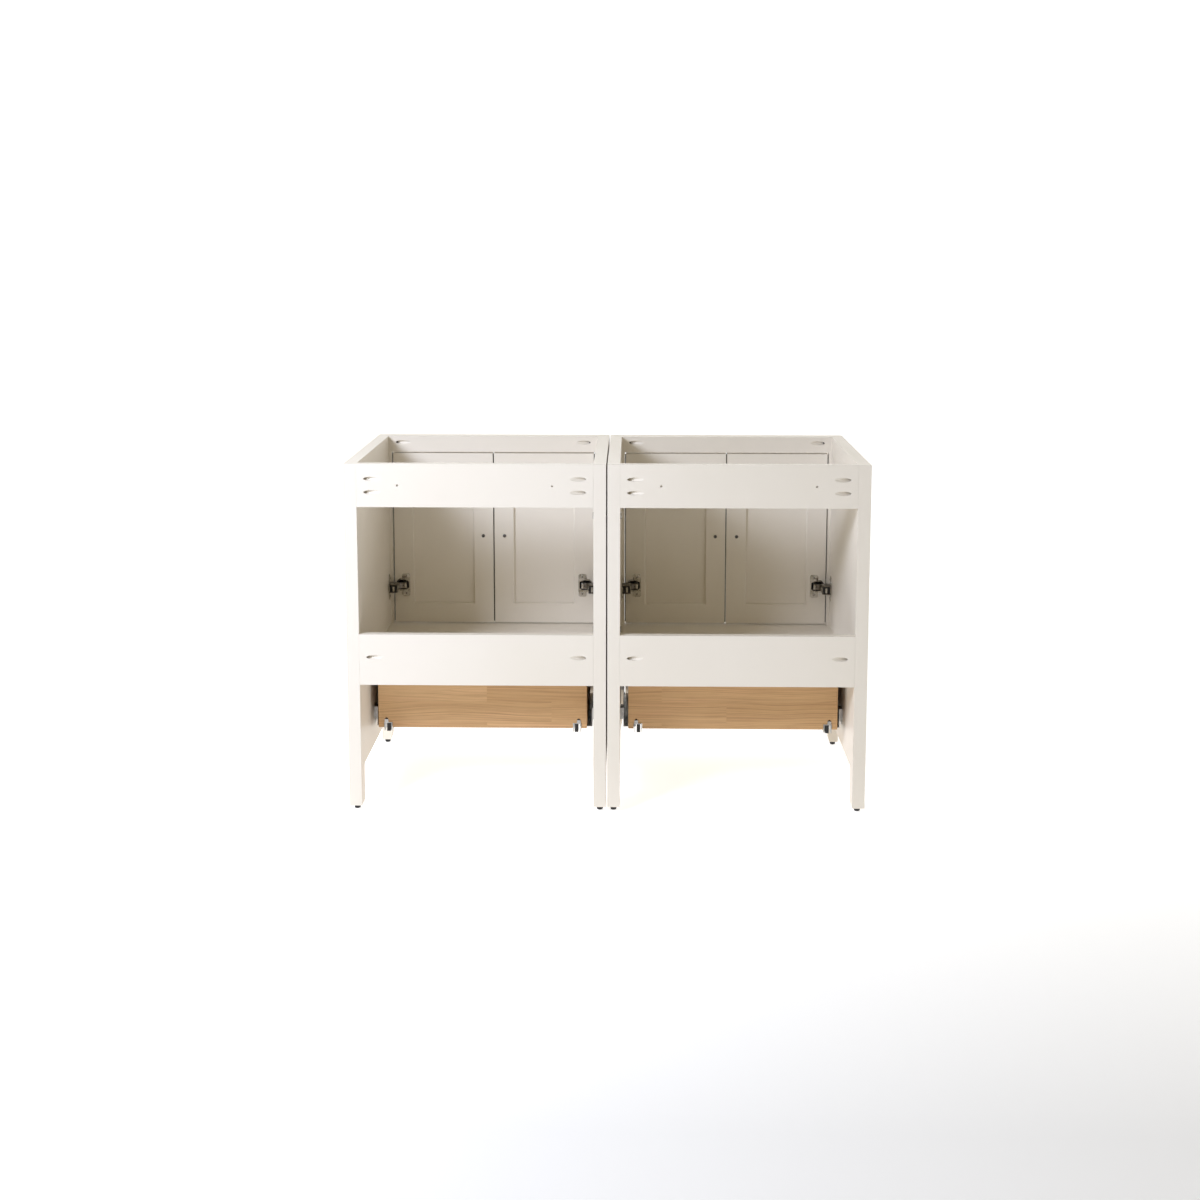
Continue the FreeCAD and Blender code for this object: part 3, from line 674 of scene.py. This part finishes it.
def local(x: float, y: float, z: float, inward: float) -> Matrix:
    """Frame at a place whose first axis points into the cabinet.

    Args:
        x: its place along X.
        y: its place along Y.
        z: its place along Z.
        inward: 1 if the cabinet lies towards +X, else -1.
    Returns:
        The matrix of the frame.
    """
    return Matrix(((inward, 0.0, 0.0, x), (0.0, 1.0, 0.0, y), (0.0, 0.0, 1.0, z),
                   (0.0, 0.0, 0.0, 1.0)))


@dataclass
class PanScrew:
    """Domed screw head with a cross recess."""

    radius: float = 4.0
    height: float = 1.8
    cross: float = 0.55
    arm: float = 0.9
    angle: float = 25.0

    def add(self, metal: Form, painted_shade: Form, seat: Vector, axis: Vector) -> None:
        """Add the head to one form and a black cross to another, painted shade in its recess.

        Args:
            metal: the form of its metal.
            painted_shade: the form of its black painted shade.
            seat: where it sits.
            axis: the way it points.
        """
        rise = self.height
        half = [(self.radius, 0.0), (self.radius * 0.98, rise * 0.35),
                (self.radius * 0.86, rise * 0.72), (self.radius * 0.62, rise * 0.93),
                (self.radius * 0.30, rise), (0.0, rise)]
        metal.turned(seat, axis, half, 24)
        size = (2.0 * self.radius * self.cross, self.arm, 0.4)
        for angle in (self.angle, self.angle + 90.0):
            turn = turn_to(axis) @ Matrix.Rotation(math.radians(angle), 3, "Z")
            # a black cross on the dome, painted shade in the screw's recess
            painted_shade.slab(seat + axis.normalized() * (rise - 0.05), size, 0.0, turn)


# --------------------------------------------------------------------------- sub-assemblies
@dataclass
class Assembly:
    """Common ways of a sub-assembly."""

    finishes: Finishes

    def fit(self, form: Form, name: str, slot: Slot, body: str, node: str | None = None,
            material: bpy.types.Material | None = None) -> None:
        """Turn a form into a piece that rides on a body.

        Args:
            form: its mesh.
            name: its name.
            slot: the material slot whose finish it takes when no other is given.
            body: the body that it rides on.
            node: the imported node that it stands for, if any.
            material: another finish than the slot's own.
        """
        item = form.piece(name, material or self.finishes.by_slot[slot])
        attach(item, body)
        if node is not None:
            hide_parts(node)


@dataclass
class Knobs(Assembly):
    """Turned round knobs and the screws that hold them from behind."""

    radius: float = 15.0
    reach: float = 24.0
    shank: float = 2.0
    screw: PanScrew = field(default_factory=lambda: PanScrew(4.5, 2.5))

    def outline(self) -> list[tuple[float, float]]:
        """Half-outline of the knob from its base to the middle of its face.

        Returns:
            Its points from the base up.
        """
        points = [(0.0, 0.0), (7.5, 0.0), (7.5, 1.6), (7.0, 2.4), (5.6, 3.6), (4.9, 6.0),
                  (5.0, 9.0), (6.4, 11.6), (9.6, 13.4), (13.2, 14.8)]
        rim, middle = 3.6, self.reach - 4.0
        for step in range(9):
            angle = math.radians(-40.0 + 130.0 * step / 8.0)
            points.append((self.radius - rim + rim * math.cos(angle),
                           middle + 3.4 * math.sin(angle)))
        return points + [(7.0, self.reach - 0.25), (0.0, self.reach)]

    def make(self, name: str, node: str, body: str, spots: list[Vector], back: float) -> None:
        """Make the knobs of one node.

        Args:
            name: the pieces' common name.
            node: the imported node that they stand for.
            body: the body that they ride on.
            spots: where each knob sits on its board.
            back: where the board's back face is along Y.
        """
        metal, heads, painted_shade = Form(), Form(), Form()
        for seat in spots:
            metal.turned(seat, -REARWARD, self.outline())
            metal.drum(seat - REARWARD, REARWARD, self.shank, back - seat.y + 2.0)
            self.screw.add(heads, painted_shade, Vector((seat.x, back, seat.z)), REARWARD)
        self.fit(metal, name, Slot.NICKEL, body, node)
        self.fit(heads, name + "_screw_heads", Slot.NICKEL, body, None, self.finishes.dim_steel)
        self.fit(painted_shade, name + "_screw_crosses", Slot.NICKEL, body, None, self.finishes.painted_shade)

    def build(self) -> None:
        """Make every door's and drawer's knobs."""
        for case in CASES:
            for hand in HANDS:
                node = f"{case}_door_{hand}_knob"
                low, high, middle = span(node)
                seat = Vector((middle.x, low.y + self.reach, middle.z))
                self.make(f"{case}_{hand}_door_knob", node, f"{case}_door_{hand}", [seat],
                          high.y - self.screw.height)
            node = f"{case}_drawer_knobs"
            low, high, middle = span(node)
            seats = [Vector((x, low.y + self.reach, middle.z))
                     for x in (low.x + self.radius, high.x - self.radius)]
            self.make(f"{case}_drawer_front_knobs", node, f"{case}_drawer", seats,
                      high.y - self.screw.height)


@dataclass
class CupHinges(Assembly):
    """Cup hinges: pressed cups on the doors, arms and wing plates on the side panels."""

    wing: tuple[float, float] = (21.0, 60.0)
    flange: float = 29.5
    corner: float = 5.0
    strip: float = 3.2
    cup: float = 22.0
    rim: float = 19.0
    round: float = 8.0
    wall: float = 0.8
    mouth: tuple[float, float] = (30.0, 25.0)
    depth: float = 11.0
    sheet: float = 1.2
    head: float = 1.2
    pitch: float = 45.0
    plate: float = 66.0
    arm: float = 22.0
    crank: float = 15.0
    screw: PanScrew = field(default_factory=lambda: PanScrew(4.0, 1.2, 0.6, 1.0))

    def cups(self, case: str, hand: str) -> None:
        """Make a door's two cups.

        Args:
            case: the cabinet.
            hand: the side of the cabinet.
        """
        node = f"{case}_door_{hand}_cups"
        low, high, _ = span(node)
        inward = HANDS[hand]
        door_low, door_high, _ = span(f"{case}_door_{hand}_frame")
        edge = door_low.x if inward > 0 else door_high.x
        face = high.y - self.sheet - self.head
        metal, painted_shade = Form(), Form()
        for z in (low.z + self.wing[1] / 2.0, high.z - self.wing[1] / 2.0):
            metal.place = painted_shade.place = local(edge, face, z, inward)
            self.pressing(metal)
            self.lining(metal, painted_shade)
            for sign in (-1.0, 1.0):
                seat = Vector((self.flange, self.sheet, sign * self.pitch / 2.0))
                self.screw.add(metal, painted_shade, seat, REARWARD)
        body = f"{case}_door_{hand}"
        self.fit(metal, f"{case}_{hand}_hinge_cups", Slot.NICKEL, body, node)
        self.fit(painted_shade, f"{case}_{hand}_hinge_cup_black_shade", Slot.NICKEL, body, None,
                 self.finishes.painted_shade)

    def pressing(self, metal: Form) -> None:
        """Add the flange's two ears, its rim round the cup and the strip beside it.

        Args:
            metal: the form of its metal.
        """
        (wide, tall), half, soft = self.wing, self.mouth[1] / 2.0, self.corner
        near, far = self.flange - wide / 2.0, self.flange + wide / 2.0
        turns = ((far - soft, range(0, 91, 15)), (near + soft, range(90, 181, 15)))
        for sign in (-1.0, 1.0):
            ear = [(near, half), (far, half)]
            for middle, angles in turns:
                ear += [(middle + soft * math.cos(math.radians(angle)),
                         tall / 2.0 - soft + soft * math.sin(math.radians(angle)))
                        for angle in angles]
            metal.plate([(across, sign * up) for across, up in ear], 0.0, self.sheet, "XZ", 0.35)
        metal.slab(Vector((far - self.strip / 2.0, self.sheet / 2.0, 0.0)),
                   (self.strip, self.sheet, 2.0 * half), 0.0)
        inner = rounded_outline(*self.mouth, self.round, 11, (self.cup, 0.0))
        outer = [(self.cup + self.rim * math.cos(angle), self.rim * math.sin(angle))
                 for angle in (math.atan2(up, across - self.cup) for across, up in inner)]
        metal.ring(outer, inner, 0.0, self.sheet - 0.15)

    def lining(self, metal: Form, painted_shade: Form) -> None:
        """Add the cup's wall and floor in black, painted shade inside the cup.

        Args:
            metal: the form of its metal.
            painted_shade: the form of the cup's black painted shade.
        """
        wall = self.wall
        outer = rounded_outline(self.mouth[0] + 2.0 * wall, self.mouth[1] + 2.0 * wall,
                                self.round + wall, 11, (self.cup, 0.0))
        inner = rounded_outline(*self.mouth, self.round, 11, (self.cup, 0.0))
        # the cup's inside is painted shade: a black wall and floor where the nickel cup lies in
        # shadow
        painted_shade.ring(outer, inner, -self.depth + 0.5, self.depth)
        painted_shade.plate(outer, -self.depth, 1.0, "XZ")
        for sign in (-1.0, 1.0):
            centre = Vector((31.5, -4.6, sign * (self.mouth[1] / 2.0 - 2.2)))
            metal.slab(centre, (8.0, 5.0, 1.6), 0.5)

    def arms(self, case: str) -> None:
        """Make a cabinet's four arms with their wing plates.

        Args:
            case: the cabinet.
        """
        node = f"{case}_hinge_arms"
        low, high, _ = span(node)
        metal, cast, painted_shade = Form(), Form(), Form()
        for hand, inward in HANDS.items():
            door_low, door_high, _ = span(f"{case}_door_{hand}_frame")
            edge = door_low.x if inward > 0 else door_high.x
            panel = low.x if inward > 0 else high.x
            for z in (low.z + self.plate / 2.0, high.z - self.plate / 2.0):
                metal.place = cast.place = painted_shade.place = local(edge, door_low.y, z, inward)
                self.wing_plate(metal, painted_shade, -abs(edge - panel))
                self.swing_arm(metal, cast, painted_shade, -abs(edge - panel))
        self.fit(metal, f"{case}_cup_hinge_plates", Slot.NICKEL, "carcass", node)
        self.fit(cast, f"{case}_cup_hinge_arms", Slot.NICKEL, "carcass", None, self.finishes.cast)
        self.fit(painted_shade, f"{case}_cup_hinge_arm_black_shade", Slot.NICKEL, "carcass", None,
                 self.finishes.painted_shade)

    def wing_plate(self, metal: Form, painted_shade: Form, panel: float) -> None:
        """Add the plate on the side panel with its two screws.

        Args:
            metal: the form of its metal.
            painted_shade: the form of its screws' black painted shade.
            panel: the side panel's inner face, in the hinge's frame.
        """
        wing = [(-8, -7), (-5, -12), (-5, -28), (-2, -33), (6, -33), (9, -28), (9, -12), (12, -7),
                (12, 7), (9, 12), (9, 28), (6, 33), (-2, 33), (-5, 28), (-5, 12), (-8, 7)]
        metal.plate([(48.0 + across, up) for across, up in wing], panel, 2.0, "YZ", 0.3)
        metal.slab(Vector((panel + 2.4, 49.0, 0.0)), (2.8, 40.0, 14.0), 0.5)
        for up in (-24.0, 24.0):
            self.screw.add(metal, painted_shade, Vector((panel + 2.0, 50.0, up)), ACROSS)

    def swing_arm(self, metal: Form, cast: Form, painted_shade: Form, panel: float) -> None:
        """Add one arm: channel, cranked nose and pins in a darker nickel, painted shade; a bright
        nickel tip, a painted highlight; lever and screws.

        Args:
            metal: the form of its metal.
            cast: the form of its darker nickel, painted shade.
            painted_shade: the form of the black painted shade in its channel.
            panel: the side panel's inner face, in the hinge's frame.
        """
        half, nose = self.arm / 2.0, self.crank / 2.0
        base = [(panel + 2.5, 40.0), (10.0, 38.0), (13.0, 41.0), (13.0, 68.0), (9.5, 72.0),
                (panel + 2.5, 72.0)]
        crank = [(3.0, 44.0), (3.0, 40.0), (15.0, 28.0), (22.0, 26.6), (22.0, 15.6),
                 (26.0, 15.1), (31.6, 17.0), (32.0, 30.0), (30.0, 33.0), (22.0, 33.0),
                 (15.5, 36.5), (13.0, 41.0)]
        for sign in (-1.0, 1.0):
            cast.plate(base, sign * (half - 0.8) - 0.8, 1.6, "XY", 0.3)
            cast.plate(crank, sign * (nose - 0.8) - 0.8, 1.6, "XY", 0.3)
        crown = [(11.4, 42.0), (13.0, 41.0), (13.0, 66.0), (11.4, 66.0)]
        cast.plate(crown, 0.7 - half, self.arm - 1.4)
        bridge = [(11.6, 42.0), (14.4, 35.8), (21.6, 31.4), (27.0, 31.4), (27.0, 33.0),
                  (22.0, 33.0), (15.5, 36.5), (13.0, 41.6)]
        cast.plate(bridge, 0.7 - nose, self.crank - 1.4)
        hollow = [(panel + 3.4, 27.5), (16.0, 29.5), (22.0, 27.0), (22.0, 16.2), (30.4, 16.6),
                  (30.4, 31.4), (21.6, 31.4), (14.4, 35.8), (11.4, 42.0), (11.4, 66.0),
                  (panel + 3.4, 66.0)]
        # black fill in the channel, at its rear end and in a pin hole: painted shade
        painted_shade.plate(hollow, 1.7 - nose, self.crank - 3.4)
        painted_shade.slab(Vector((panel / 2 + 7.6, 67.0, 0.0)), (16.0, 6.0, self.arm - 3.4), 0.0)
        # a bright nickel tip on the darker arm: a painted highlight
        metal.slab(Vector((29.2, 32.2, 0.0)), (5.2, 2.0, self.crank - 2.6), 0.7)
        metal.slab(Vector((3.4, 69.0, -0.6)), (5.0, 8.0, 13.0), 0.8)
        for along in (47.0, 59.0):
            self.screw.add(metal, painted_shade, Vector((13.0, along, 0.0)), ACROSS)
        for place in (Vector((28.0, 29.0, -nose - 0.4)), Vector((27.6, 18.6, -nose - 0.4))):
            cast.drum(place, UPWARD, 1.5, self.crank + 0.8, 0.3, 16)
        painted_shade.drum(Vector((22.5, 32.6, 0.0)), REARWARD, 1.8, 0.6, 0.0, 16)

    def build(self) -> None:
        """Make every hinge."""
        for case in CASES:
            self.arms(case)
            for hand in HANDS:
                self.cups(case, hand)


@dataclass
class GapShadeStrips(Assembly):
    """Thin black strips that close the upright joints round the doors: painted shade that makes
    the gaps read dark.
    """

    width: float = 2.4
    depth: float = 5.0
    behind: float = 9.0
    shortfall: float = 4.0

    def build(self) -> None:
        """Make the strips on each door's hinge side and on one meeting edge."""
        for case in CASES:
            for hand, inward in HANDS.items():
                low, high, middle = span(f"{case}_door_{hand}_frame")
                outer, inner = (low.x, high.x) if inward > 0 else (high.x, low.x)
                edges = [outer - inward * self.width / 2]
                if hand == "right":
                    edges.append(inner + inward * self.width / 2)
                form = Form()
                for x in edges:
                    centre = Vector((x, low.y + self.behind + self.depth / 2, middle.z))
                    size = (self.width, self.depth, high.z - low.z - self.shortfall)
                    # a black strip behind the gap, painted shade where there is only shadow
                    form.slab(centre, size, 0.5)
                self.fit(form, f"{case}_{hand}_door_gap_shade_strip", Slot.BLACK, f"{case}_door_{hand}")


@dataclass
class Glides(Assembly):
    """Black moulded glides nailed under the legs."""

    radius: float = 7.5
    height: float = 12.0
    leg: tuple[float, float] = (29.0, 45.0)
    post: tuple[float, float] = (22.5, 44.0)

    def build(self) -> None:
        """Make each cabinet's four glides."""
        for case in CASES:
            form = Form()
            for hand, inward in HANDS.items():
                for kind, (wide, deep), y_side in (("side", self.leg, 1), ("post", self.post, 0)):
                    low, high, _ = span(f"{case}_{kind}_{hand}")
                    outer = low.x if inward > 0 else high.x
                    y = high.y - deep / 2 if y_side else low.y + deep / 2
                    self.pad(form, Vector((outer + inward * wide / 2, y, 0.0)))
            self.fit(form, f"{case}_leg_glides", Slot.BLACK, "carcass", f"{case}_glides")

    def pad(self, form: Form, foot: Vector) -> None:
        """Add one glide: a domed foot, a waist and a flange under the leg.

        Args:
            form: the form that it joins.
            foot: the middle of its underside.
        """
        radius = self.radius
        half = [(0.0, 0.0), (radius * 0.60, 0.0), (radius * 0.84, 0.8), (radius * 0.95, 2.2),
                (radius * 0.98, 4.0), (radius * 0.97, 6.4), (radius * 0.86, 7.0),
                (radius * 0.84, 8.6), (radius * 0.88, 9.4), (radius, 10.0), (radius, self.height),
                (0.0, self.height)]
        form.turned(foot, UPWARD, half, 40)


@dataclass
class PocketScrews(Assembly):
    """Screws at the bottom of the slanted pockets of the rails."""

    slope: float = math.radians(15.0)
    stop: float = 12.0
    rails: tuple = (("rear_top_rail", (-15.5, 15.5), 35.5), ("rear_low_rail", (6.0,), 35.5),
                    ("front_top_rail", (5.0,), 30.0))
    screw: PanScrew = field(default_factory=lambda: PanScrew(3.9, 2.2, 0.6, 1.1))

    def build(self) -> None:
        """Make one set of screws for each cabinet."""
        for case in CASES:
            metal, painted_shade = Form(), Form()
            for node, rows, reach in self.rails:
                low, high, middle = span(f"{case}_{node}")
                sunk = (reach - self.stop) * math.tan(self.slope)
                for inward in HANDS.values():
                    end = low.x if inward > 0 else high.x
                    out = Vector((inward * math.cos(self.slope), math.sin(self.slope), 0.0))
                    for row in rows:
                        seat = Vector((end + inward * self.stop, high.y - sunk, middle.z + row))
                        self.screw.add(metal, painted_shade, seat, out)
            self.fit(metal, f"{case}_pocket_screws", Slot.ZINC, "carcass", None,
                     self.finishes.dim_steel)
            self.fit(painted_shade, f"{case}_pocket_screw_shade", Slot.ZINC, "carcass", None,
                     self.finishes.painted_shade)


@dataclass
class SlideDetails(Assembly):
    """Screws on the slides' rails and levers on the clips."""

    web: float = 8.5
    margin: float = 15.0
    second: float = 110.0
    drop: float = 14.0
    lever_spot: tuple[float, float, float] = (26.0, 21.0, 11.0)
    lever: tuple[float, float, float] = (20.0, 26.0, 2.4)
    rib: tuple[float, float, float] = (16.0, 1.6, 1.2)
    pitch: float = 4.4
    screw: PanScrew = field(default_factory=lambda: PanScrew(3.6, 1.4, 0.6, 0.9))

    def build(self) -> None:
        """Add the fine parts of each cabinet's slides."""
        for case in CASES:
            low, high, _ = span(f"{case}_slide_rails")
            clip_low, clip_high, _ = span(f"{case}_slide_clips")
            _, board, _ = span(f"{case}_drawer_subfront")
            metal, painted_shade, lever = Form(), Form(), Form()
            for inward in HANDS.values():
                web = (low.x if inward > 0 else high.x) + inward * self.web
                for y in (low.y + self.margin, low.y + self.second, high.y - self.margin):
                    self.screw.add(metal, painted_shade, Vector((web, y, high.z - self.drop)),
                                   inward * ACROSS)
                stop = clip_low.x if inward > 0 else clip_high.x
                inset, behind, below = self.lever_spot
                lever.place = local(stop + inward * inset, board.y + behind,
                                    clip_high.z - below, inward)
                lever.slab(-UPWARD * self.lever[2] / 2.0, self.lever, 0.8)
                for step in range(-2, 3):
                    lever.slab(Vector((0.0, step * self.pitch, -2.8)), self.rib, 0.3)
            self.fit(metal, f"{case}_rail_screws", Slot.ZINC, "carcass")
            self.fit(painted_shade, f"{case}_rail_screw_shade", Slot.ZINC, "carcass", None,
                     self.finishes.painted_shade)
            self.fit(lever, f"{case}_clip_levers", Slot.BLACK, f"{case}_drawer")


# ------------------------------------------------------------------------ studio and view
@dataclass
class Studio:
    """White studio: glowing pale floor and backdrop, a soft key lamp and a weak surround."""

    floor_tint: tuple = (0.74, 0.74, 0.74, 1.0)
    backdrop_tint: tuple = (0.60, 0.60, 0.60, 1.0)
    backdrop_glow: float = 1.2
    floor_size: tuple[float, float, float] = (200000.0, 200000.0, 20.0)
    backdrop_size: tuple[float, float, float] = (190000.0, 20.0, 24000.0)
    backdrop_distance: float = 16000.0
    glow: float = 0.70
    fade: tuple[float, float] = (0.3, 1.6)
    surround: float = 0.23
    surround_tint: tuple = (1.0, 0.86, 0.55, 1.0)
    lamp_place: tuple[float, float, float] = (1.7, 1.9, 1.9)
    lamp_aim: tuple[float, float, float] = (0.0, 0.0, 0.5)
    lamp_size: float = 0.8
    lamp_power: float = 59.0
    lamp_tint: tuple[float, float, float] = (0.93, 1.0, 1.20)

    def sheet(self, name: str, centre: Vector, size: tuple[float, float, float], tint: tuple,
              glow: float) -> None:
        """Stage a pale matt sheet that glows a little.

        Args:
            name: its name.
            centre: its middle, in millimetres.
            size: its three sizes, in millimetres.
            tint: its colour.
            glow: strength of its glow.
        """
        graph = Graph(name)
        cloud = graph.noise(0.8, 2.0)
        soft = tuple(value * 0.97 for value in tint[:3]) + (1.0,)
        pale = graph.mix(graph.spread(cloud, 0.3, 0.7, 0.0, 1.0), tint, soft)
        # on the floor the glow is full up to Y 0.3 m, under and behind the cabinets, and drops to
        # 0.35 of it by Y 1.6 m: painted light that fills their cast shadow; the far backdrop glows
        # evenly
        depth = graph.node("ShaderNodeSeparateXYZ", {}, {"Vector": graph.place}, "Y")
        fading = graph.mix(graph.spread(depth, *self.fade, 0.0, 1.0), (1.0, 1.0, 1.0, 1.0),
                           (0.35, 0.35, 0.35, 1.0))
        material = graph.finish(Base_Color=pale, Roughness=0.95, Specular_IOR_Level=0.1,
                                Emission_Color=fading, Emission_Strength=glow)
        Form().slab(centre, size).piece(name, material)

    def lamp(self) -> None:
        """Hang the soft square key lamp and point it at the cabinets."""
        data = bpy.data.lights.new("key_lamp", "AREA")
        data.shape = "SQUARE"
        data.size = self.lamp_size
        data.energy = self.lamp_power
        data.color = self.lamp_tint
        item = bpy.data.objects.new("key_lamp", data)
        item.location = self.lamp_place
        heading = Vector(self.lamp_aim) - Vector(self.lamp_place)
        item.rotation_euler = heading.to_track_quat("-Z", "Y").to_euler()
        bpy.context.scene.collection.objects.link(item)

    def build(self) -> None:
        """Set the floor, backdrop, lamp and surround."""
        self.sheet("studio_floor", -UPWARD * self.floor_size[2] / 2.0, self.floor_size,
                   self.floor_tint, self.glow)
        centre = Vector((0.0, -self.backdrop_distance, self.backdrop_size[2] / 2.0))
        self.sheet("studio_backdrop", centre, self.backdrop_size, self.backdrop_tint,
                   self.backdrop_glow)
        self.lamp()
        world = bpy.data.worlds.new("surround")
        world.use_nodes = True
        background = world.node_tree.nodes["Background"]
        background.inputs["Color"].default_value = self.surround_tint
        background.inputs["Strength"].default_value = self.surround
        scene = bpy.context.scene
        scene.world = world
        scene.view_settings.view_transform = "Standard"


@dataclass
class View:
    """The camera, behind the cabinets and a little above them."""

    place: tuple = (-0.0587, 3.8480, 1.3471)
    turn: tuple = (82.837, -0.050, -179.104)
    lens: float = 47.86
    shift: tuple = (-0.0068, -0.1410)

    def build(self) -> None:
        """Make the camera and set it as the scene's own."""
        data = bpy.data.cameras.new("view")
        data.sensor_width = 36.0
        data.lens = self.lens
        data.shift_x, data.shift_y = self.shift
        data.dof.use_dof = False
        item = bpy.data.objects.new("view", data)
        item.location = self.place
        item.rotation_euler = [math.radians(angle) for angle in self.turn]
        bpy.context.scene.collection.objects.link(item)
        bpy.context.scene.camera = item


def main() -> None:
    """Dress the frame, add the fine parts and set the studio."""
    logging.basicConfig(level=logging.INFO, format="%(message)s")
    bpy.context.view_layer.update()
    finishes = Finishes()
    finishes.dress_frame()
    for assembly in (Knobs, CupHinges, GapShadeStrips, Glides, PocketScrews, SlideDetails):
        assembly(finishes).build()
    Studio().build()
    View().build()


if __name__ == "__main__":
    main()
